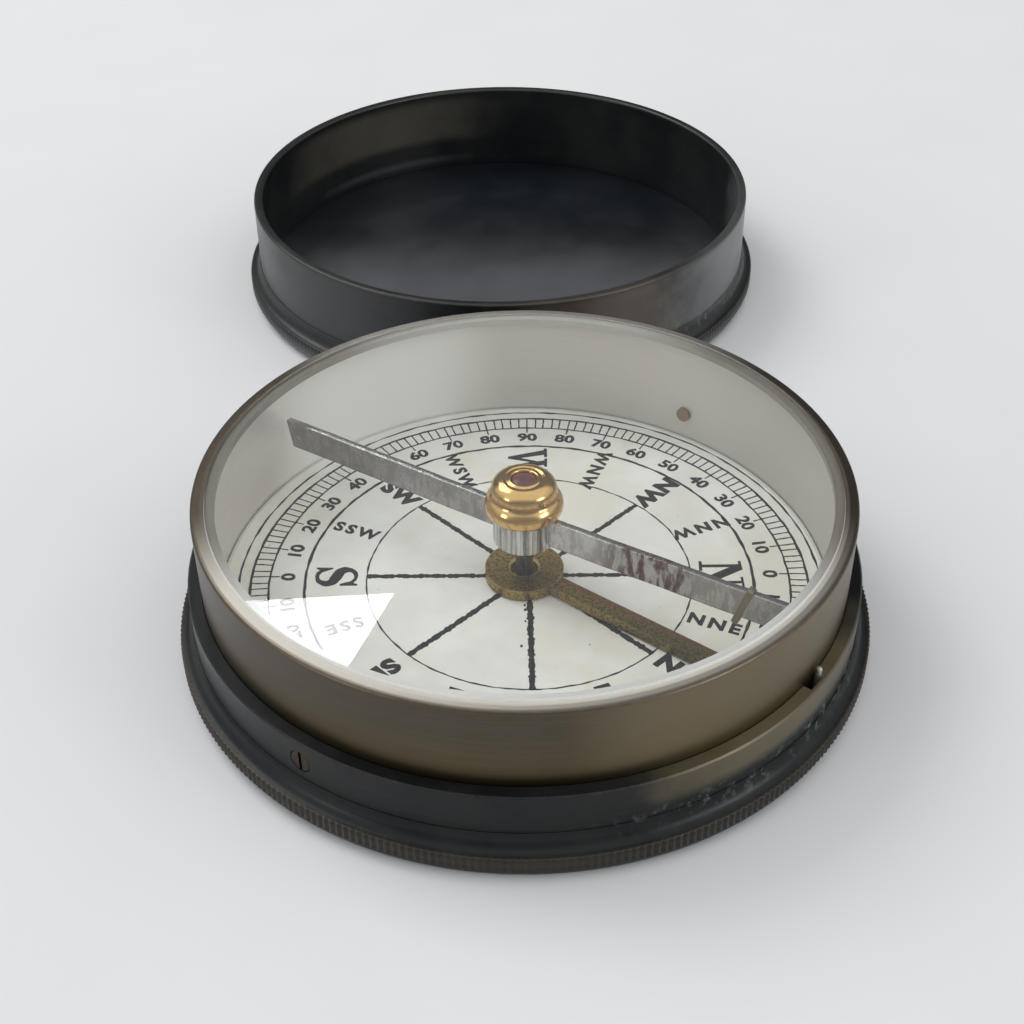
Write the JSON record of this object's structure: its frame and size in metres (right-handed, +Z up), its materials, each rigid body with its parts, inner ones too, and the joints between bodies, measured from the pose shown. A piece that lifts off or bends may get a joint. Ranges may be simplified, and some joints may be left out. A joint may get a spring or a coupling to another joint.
{
  "type": "pocket compass",
  "caption": "Round pocket compass with an edge-bar needle on a jewelled cap, white dial, bevelled glass, needle lifter worked by a stud, and a push-on lid lying off beside it.",
  "frame": {"origin": "centre of the case's flat foot, on the surface that it stands on", "axes": "+Z up along the needle's pivot, +Y towards the lid that lies upside down behind the case, +X to the right"},
  "size_m": [0.0549, 0.108, 0.0138],
  "materials": {
    "case_metal": "oxidised dark, satin",
    "box_brass": "satin, dulled outside and silvered inside",
    "screw_brass": "dulled",
    "plain_brass": "satin",
    "dial_enamel": "white enamel with black marks",
    "silvered": "silvered satin",
    "window_glass": "polished, bevelled",
    "pivot_steel": "blued, ground point",
    "bright_steel": "brushed",
    "needle_steel": "brushed, pitted and stained",
    "cap_brass": "polished",
    "jewel_stone": "polished stone",
    "lifter_brass": "dulled, worn bright along one edge",
    "stud_metal": "dulled"
  },
  "bodies": {
    "case": {"base_plate": "case_metal", "base_ring": "case_metal", "compass_box": "box_brass", "case_screws": "screw_brass", "dial_plate": "plain_brass", "dial": "dial_enamel", "glass_seat": "silvered", "bevelled_glass": "window_glass", "pivot_bush": "plain_brass", "pivot_pin": "pivot_steel", "lifter_lugs": "plain_brass", "lifter_pin": "bright_steel", "lifter_spring": "bright_steel"},
    "needle": {"needle_bars": "needle_steel", "needle_hub": "bright_steel", "needle_cap": "cap_brass", "cap_jewel": "jewel_stone", "balance_rider": "screw_brass"},
    "lifter": {"lifter": "lifter_brass"},
    "stud": {"lifter_stud": "stud_metal"},
    "lid": {"lid_plate": "case_metal", "lid_ring": "case_metal"}
  },
  "joints": [
    {"name": "needle_swing", "type": "hinge", "parent": "case", "child": "needle", "pos_m": [0, 0, 0.0107], "axis": [0, 0, 1], "continuous": true},
    {"name": "lifter_tilt", "type": "hinge", "parent": "case", "child": "lifter", "pos_m": [0.01523, -0.01169, 0.00402], "axis": [0.6088, 0.7934, 0], "range_deg": [0, 5.8], "stiffness_Nm_per_rad": 0.002, "springref_deg": -2.86, "deforming": ["lifter_spring"]},
    {"name": "stud_press", "type": "slide", "parent": "case", "child": "stud", "axis": [0, 0, 1], "range_m": [-0.00055, 0]},
    {"name": "lid_lift", "type": "slide", "parent": "case", "child": "lid", "axis": [0, 0, 1], "range_m": [0, 0.04]}
  ],
  "couplings": [
    {"joint": "stud_press", "follows": "lifter_tilt", "m_per_rad": -0.00531}
  ]
}
